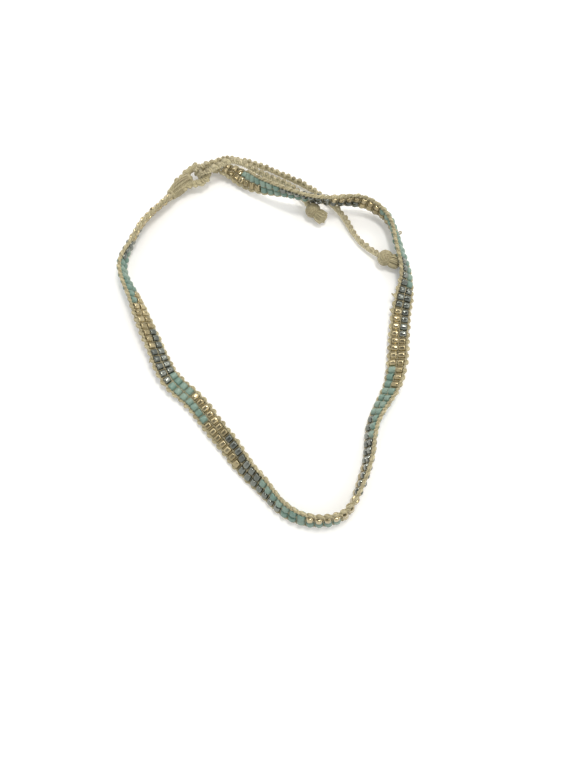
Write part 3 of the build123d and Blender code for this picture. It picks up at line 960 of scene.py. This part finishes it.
eye = Skein()
eye_rng = np.random.default_rng(53)
at_tip = squeezed_at(eye_length / 2, least=0.74, grip=0.0012, ease=0.0025)
hitches(eye, eye_track, 0.0, eye_length, EYE_HITCH, eye_rng, EYE_KNUCKLE, size=at_tip)
eye.piece("eye_hitches", olive_thread, "olive_thread", "eye_loop")

# %% [markdown]
# ## The neck between the band and the eye
# Here the band's threads are drawn together and knotted over once, which leaves a plump bundle of
# strands that run lengthwise, pinched by a few turns at each end. Strands laid round a swelling core
# show those ridges. The bundle follows a short curve from the band, through the foot of the eye, to
# where the eye opens.

# %% Neck
NECK_FROM = (0.0034, 0.0017)  # distances along the band
NECK_INTO = ((2.4, 0.4, 2.3), (4.7, 0.4, 2.4))  # points of the eye, in mm
NECK_STRANDS = 12
NECK_PINCHED, NECK_PLUMP = 0.00078, 0.00165  # from the axis to the strands' middles
NECK_SHAPE = 0.75  # below one, the swelling is blunt
NECK_CORE = 0.98  # its share of the radius
NECK_THREAD, NECK_THIN_END = 0.00034, 0.72  # its radius, and the share of it left at the ends
NECK_TWIST, NECK_WANDER, NECK_STRAY = 0.5, 0.00005, 0.25
NECK_BULGES, NECK_TONES = (0.85, 1.15), (-0.15, 0.30)
NECK_GATHERED = (0.0030, 0.0048)  # distances along the band
PINCHES, PINCH_SHARE = (0.07, 0.93), 0.075  # shares of the neck's length
PINCH_TURNS, PINCH_THREAD, PINCH_OVER = 3, 0.0002, 0.00026

neck_rng = np.random.default_rng(47)
neck_route = [tuple(place) for place in on_band(np.array(NECK_FROM), 0.0)]
neck_route += [tuple(eye_foot)] + [eye_point(point) for point in NECK_INTO]
neck_line = smooth_line("neck_line", neck_route)
neck_reach = reach_along(neck_line)
neck_tangent = unit(np.gradient(neck_line, axis=0))
neck_side = carried_normals(neck_tangent)
neck_face = np.cross(neck_tangent, neck_side)
neck_share = neck_reach / neck_reach[-1]
neck_swell = np.sin(pi * neck_share)
neck_radius = NECK_PINCHED + (NECK_PLUMP - NECK_PINCHED) * neck_swell**NECK_SHAPE
neck_taper = NECK_THIN_END + (1 - NECK_THIN_END) * neck_swell

neck = Skein()
neck.strand(neck_line, neck_radius * NECK_CORE, sides=20, tone=0.0)
for k in range(NECK_STRANDS):
    clock = 2 * pi * (k + NECK_STRAY * neck_rng.standard_normal()) / NECK_STRANDS + NECK_TWIST * neck_share
    wander = rolling(neck_rng, len(neck_share), NECK_WANDER, len(neck_share) / 3)
    bulge = NECK_THREAD * neck_rng.uniform(*NECK_BULGES) * neck_taper
    tone = neck_rng.uniform(*NECK_TONES)
    neck.turns(neck_line, clock, neck_side, neck_face, neck_radius + wander, bulge, 8, tone)
angle = np.linspace(0, 2 * pi * PINCH_TURNS, TURN_STEPS * PINCH_TURNS)
for pinch in PINCHES:
    share = pinch + PINCH_SHARE * (angle / angle[-1] - 0.5)
    centre, side, face = (read_off(share, neck_share, part) for part in (neck_line, neck_side, neck_face))
    reach_out = np.interp(share, neck_share, neck_radius) + PINCH_OVER
    neck.turns(centre, angle, side, face, reach_out, PINCH_THREAD, 7, 0.4)
gathered(neck, *NECK_GATHERED, neck_rng)
neck.piece("loop_neck", olive_thread, "olive_thread", "loop_whipping")

# %% [markdown]
# ## Ball knots
# Each tail ends in a hard round knot. Its turns lie beside each other round the ball, and a few more
# cross over them and bind the lot. Closed rings do for the turns, because no join would show. The cut
# ends come out of the ball as a blunt brush that is nearly as wide as the knot.


# %% Sizes of the ball knots
BALL_RADIUS = 0.00205
BALL_THREAD = 0.00036
BALL_TURNS, BALL_STEPS = 9, 40
BALL_FORWARD, BALL_CLEAR = 0.00184, 0.00002  # past the tail's last point, and off the table
BALL_TILT = 0.05
LOOK_BACK = 8  # points of the tail's line that give its heading
TURN_WAVE, TURN_SPREAD = 0.16, 0.12  # how far a turn rises and falls, in threads
TURN_PHASE = 6  # the most that its wave is shifted, in radians
TURN_TONES, BINDING_TONES, TUFT_TONES = (-0.2, 0.15), (-0.05, 0.30), (0.5, 1.1)
BINDING_OFF = 0.0004  # the binding turns sit a little off the ball's middle
BINDING_PITCH = 1.8 * BALL_THREAD
BINDING_HIGH, BINDING_DIP = 0.75, 0.55  # how deep they lie, in threads
BALL_CORE, CORE_CUT = BALL_RADIUS - 1.3 * BALL_THREAD, 0.05  # radius, and the angle cut off at its poles
TUFT_STRANDS, TUFT_THREAD = 46, 0.00021
TUFT_REACH, TUFT_ROUNDED, TUFT_RAGGED = 0.0021, 0.0006, 0.00012  # the outer threads are shorter
TUFT_SPREAD, TUFT_ROOT = 0.00170, 0.62  # how wide it is, and the share of that inside the ball
TUFT_BOW = 0.00008
TUFT_CLOCK = 2.4  # nearly the golden angle, which spreads the threads evenly
TUFT_FIRST = 0.3  # keeps the first thread off the middle
FLARE_FROM, FLARE_LENGTH = 0.0011, 0.0009
LOWEST_THREAD = 0.00024


# %% Wind the balls
def ball_knot(name, node, line, pole, tuft_way, rng):
    """A wound ball beyond the end of a tail's line, with its tuft. The turns go round the pole."""
    end = line[-1]
    heading = unit((end - line[-LOOK_BACK]) * [1, 1, 0])
    centre = np.array([end[0], end[1], BALL_RADIUS + BALL_CLEAR]) + heading * BALL_FORWARD
    pole = unit(pole)
    first = unit(np.cross(pole, heading))
    second = np.cross(pole, first)
    skein = Skein()

    def wind(loop, tones):
        """One closed turn, with a tone of its own."""
        tone = rng.uniform(*tones)
        skein.strand(centre + loop, BALL_THREAD, sides=8, outward=loop, closed=True, tone=tone)

    t = round_steps(BALL_STEPS)
    for k in range(BALL_TURNS):
        latitude = pi * (k + 0.5) / BALL_TURNS
        tilt = BALL_TILT * rng.standard_normal()
        wave = TURN_WAVE * np.cos(2 * t + rng.random() * TURN_PHASE) + TURN_SPREAD * rng.standard_normal()
        shell = BALL_RADIUS - BALL_THREAD * (1.0 + wave)
        height = shell * (cos(latitude) + sin(latitude) * tilt * np.cos(t))
        circle = (shell * sin(latitude))[:, None] * spokes(t, first, second)
        wind(circle + np.outer(height, pole), TURN_TONES)
    for turn in (-1, 0, 1):
        height = BINDING_OFF + turn * BINDING_PITCH
        shell = BALL_RADIUS - BALL_THREAD * (BINDING_HIGH + BINDING_DIP * np.cos(t) ** 2)
        around = np.sqrt(shell**2 - height**2)[:, None]
        wind(around * spokes(t, pole, first) + second * height, BINDING_TONES)
    angle = np.linspace(CORE_CUT, pi - CORE_CUT, 12)
    core_line = centre + np.outer(np.cos(angle) * BALL_CORE, heading)
    skein.strand(core_line, BALL_CORE * np.sin(angle), sides=20, tone=0.05)

    tuft_way = unit(tuft_way)
    spread_1 = unit(np.cross(tuft_way, [0, 0, 1.0]))
    spread_2 = np.cross(spread_1, tuft_way)
    t = np.linspace(0, 1, 9)
    for k in range(TUFT_STRANDS):
        fan = TUFT_SPREAD * np.sqrt((k + TUFT_FIRST) / TUFT_STRANDS)
        clock = TUFT_CLOCK * k
        out = spread_1 * cos(clock) + spread_2 * sin(clock)
        ragged = TUFT_RAGGED * rng.standard_normal()
        length = BALL_RADIUS + TUFT_REACH + ragged - TUFT_ROUNDED * (fan / TUFT_SPREAD) ** 2
        opened = np.clip((length * t - FLARE_FROM) / FLARE_LENGTH, 0, 1)
        flare = fan * (TUFT_ROOT + (1 - TUFT_ROOT) * opened)
        fibres = centre + np.outer(length * t, tuft_way) + np.outer(flare, out)
        fibres += np.outer(np.sin(pi * t) * TUFT_BOW, rng.standard_normal(3))
        fibres[:, 2] = np.maximum(fibres[:, 2], LOWEST_THREAD)
        skein.strand(fibres, TUFT_THREAD, sides=7, tone=rng.uniform(*TUFT_TONES))
    return skein.piece(name, olive_thread, "olive_thread", node)


POLE_A, TUFT_WAY_A = (0.2, -0.45, 0.85), (0.90, -0.36, -0.12)
POLE_B, TUFT_WAY_B = (-0.3, -0.25, 0.9), (0.74, -0.64, -0.12)
tail_rng = np.random.default_rng(67)
knot_a = ball_knot("ball_turns_a", "ball_knot_a", tail_a_line, POLE_A, TUFT_WAY_A, tail_rng)
knot_b = ball_knot("ball_turns_b", "ball_knot_b", tail_b_line, POLE_B, TUFT_WAY_B, tail_rng)

# %% [markdown]
# ## The tie tails
# Each tail is a slim hitched cord too, with a row of round knuckles along one side.


# %% Tails
TAIL_HITCH = Hitch(pitch=0.00178, wraps=3, breadth=0.00052, height=0.00052, thread=0.00024)
TAIL_KNUCKLE = Knuckle(height=0.00005, span=0.29, plump=2.7, darkest=-0.2, lightest=0.2)
TAIL_ROLL = 74  # degrees from level, at the tail's end
TAIL_TONE = 1.15
TAIL_FOLD = 0.0058  # how far along a tail it folds through the eye


def tail_track(line):
    """A tail's line, with the knuckles' side rolled up from level left at its end."""
    tangent = unit(np.gradient(line, axis=0))
    side = carried_normals(tangent)
    level = unit(np.cross([0, 0, 1.0], tangent[-1]))
    up = np.cross(tangent[-1], level)
    wanted = level * cos(radians(TAIL_ROLL)) + up * sin(radians(TAIL_ROLL))
    offset = np.arctan2(np.cross(side[-1], wanted) @ tangent[-1], side[-1] @ wanted)
    side = side * np.cos(offset) + np.cross(tangent, side) * np.sin(offset)
    return Track(reach_along(line), line, side, np.cross(tangent, side))


def tail(name, node, line, rng):
    """One hitched tail along its line."""
    track = tail_track(line)
    skein = Skein()
    length = track.reach[-1]
    at_fold = squeezed_at(TAIL_FOLD, least=0.82, grip=0.0014, ease=0.002)
    hitches(skein, track, 0.0, length, TAIL_HITCH, rng, TAIL_KNUCKLE, size=at_fold, tone=TAIL_TONE)
    piece = skein.piece(name, tail_thread, "olive_thread", node)
    return piece


tail("tail_hitches_a", "tie_tail_a", tail_a_line, tail_rng)
tail("tail_hitches_b", "tie_tail_b", tail_b_line, tail_rng)

# %% [markdown]
# ## Table and light
# A white table in a bright room. The room is much dimmer straight overhead, and a band of window runs
# part way up on its far side, so the plated beads show a bright bar beside dark glass. One small soft
# lamp high on that side gives the shadows a direction. The table glows faintly too, for the light that
# a large white top throws about, which keeps the shadows on it pale.

# %% Table
TABLE_HALF = 1.5
TABLE_HEIGHT = -0.00016  # just under the lowest thread

table_mesh = bpy.data.meshes.new("table")
corners = [(TABLE_HALF * x, TABLE_HALF * y, 0) for x, y in ((-1, -1), (1, -1), (1, 1), (-1, 1))]
table_mesh.from_pydata(corners, [], [(0, 1, 2, 3)])
table_object = add_object("table", table_mesh)
table_object.location.z = TABLE_HEIGHT
table_white = bpy.data.materials.new("table_white")
table_white.use_nodes = True
set_inputs(table_white.node_tree.nodes["Principled BSDF"], {
    "Base Color": (0.93, 0.93, 0.925, 1),
    "Roughness": 0.9,
    "Specular IOR Level": 0.1,
    "Emission Color": (1.0, 0.995, 0.985, 1),
    "Emission Strength": 0.10,
})
table_mesh.materials.append(table_white)

# %% Room
WINDOW = (5.0, 4.93, 4.8, 1)
WINDOW_WAY = (0.6, 0.8)
WINDOW_HEIGHT, WINDOW_HALF_HEIGHT = 0.66, 0.07
WINDOW_PAST_SIDE = 0.25
WINDOW_EDGE = 5.0

world = bpy.data.worlds.new("bright_room")
bpy.context.scene.world = world
world.use_nodes = True
room = world.node_tree
background = room.nodes["Background"]
way_out = room.nodes.new("ShaderNodeTexCoord")
parts = room.nodes.new("ShaderNodeSeparateXYZ")
room.links.new(way_out.outputs["Generated"], parts.inputs[0])
ramp = room.nodes.new("ShaderNodeValToRGB")
walls, overhead = ramp.color_ramp.elements
walls.position = 0.55
walls.color = (1.0, 0.995, 0.98, 1)
overhead.position = 0.93
overhead.color = (0.27, 0.272, 0.275, 1)
room.links.new(parts.outputs["Z"], ramp.inputs[0])
window_x, window_y = (times(room, parts.outputs[k], WINDOW_WAY[k]) for k in (0, 1))
to_window = plus(room, plus(room, window_x, window_y), WINDOW_PAST_SIDE)
off_level = maths(room, "ABSOLUTE", maths(room, "SUBTRACT", parts.outputs["Z"], WINDOW_HEIGHT))
band = maths(room, "SUBTRACT", 1.0, maths(room, "DIVIDE", off_level, WINDOW_HALF_HEIGHT), clamp=True)
pane = times(room, band, times(room, to_window, WINDOW_EDGE, clamp=True))
room.links.new(blended(room, pane, ramp.outputs["Color"], WINDOW), background.inputs["Color"])
background.inputs["Strength"].default_value = 1.05

# %% Lamp
lamp_data = bpy.data.lights.new("softbox", "AREA")
lamp_data.shape = "RECTANGLE"
lamp_data.size = 0.13
lamp_data.size_y = 0.07
lamp_data.energy = 0.8
lamp_data.color = (1.0, 0.97, 0.92)
lamp = add_object("softbox", lamp_data)
lamp.location = (0.10, 0.10, 0.42)
lamp.rotation_euler = (-lamp.location).to_track_quat("-Z", "Y").to_euler()
bpy.context.scene.view_settings.view_transform = "Standard"
print("lamp at", [round(x, 2) for x in lamp.location], "with", round(lamp_data.energy, 2), "W")
